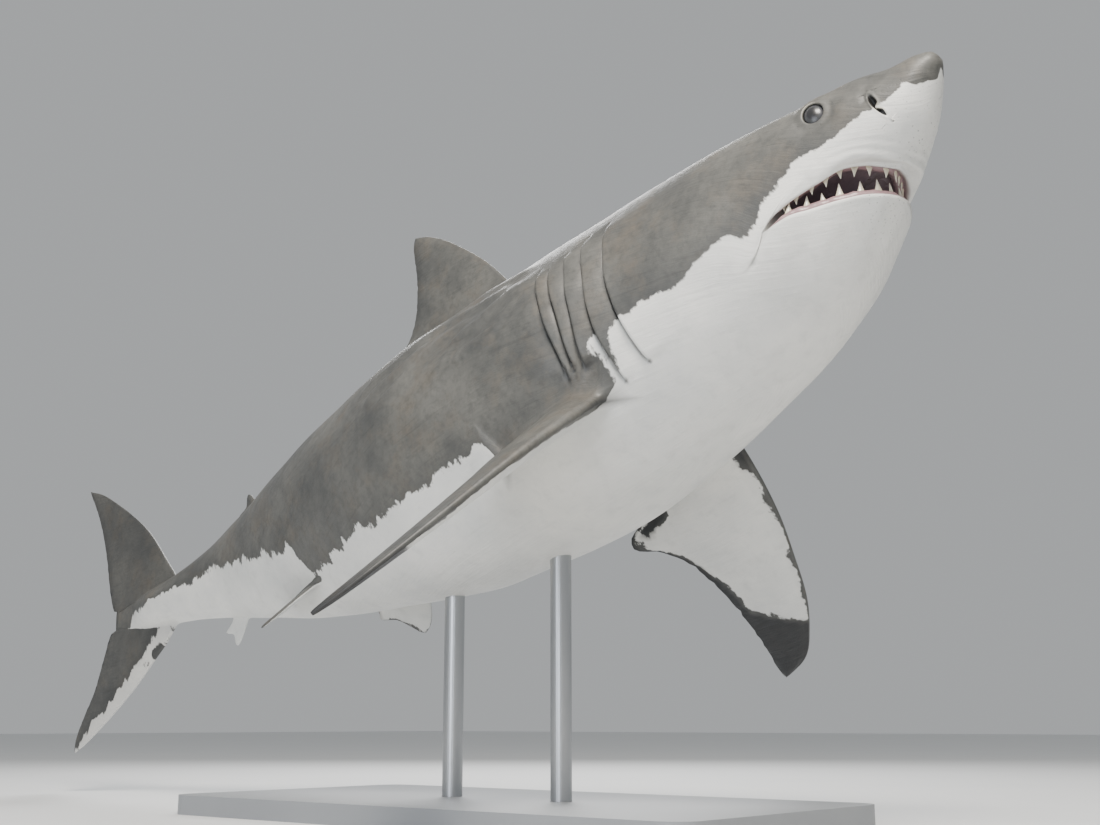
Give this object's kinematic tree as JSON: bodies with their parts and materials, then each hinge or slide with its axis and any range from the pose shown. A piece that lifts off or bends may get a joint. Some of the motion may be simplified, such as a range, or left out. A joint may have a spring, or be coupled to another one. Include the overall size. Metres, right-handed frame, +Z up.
{
  "type": "shark model",
  "caption": "Life-size still model of a great white shark swimming nose up with its mouth slightly open, held by a plain flat base and upright rods.",
  "frame": {"origin": "centre of the underside of the stand's flat base", "axes": "+Z up; the head faces -Y and the tail +Y; +X is the shark's own left side"},
  "size_m": [2.1237, 4.2094, 1.9727],
  "materials": {
    "skin": "matte sharkskin, grey back and white belly",
    "eye": "wet gloss",
    "tooth": "enamel",
    "mouth": "wet flesh",
    "stand": "satin grey paint"
  },
  "bodies": {
    "root": {"head": "skin", "lower_jaw": "skin", "gill_region": "skin", "trunk": "skin", "tail_stem": "skin", "eye_right": "eye", "eye_left": "eye", "dorsal_first": "skin", "dorsal_second": "skin", "anal_fin": "skin", "pectoral_right": "skin", "pectoral_left": "skin", "pelvic_right": "skin", "pelvic_left": "skin", "caudal_upper": "skin", "caudal_lower": "skin", "stand_base": "stand", "stand_rod_front": "stand", "stand_rod_rear": "stand"}
  },
  "joints": []
}
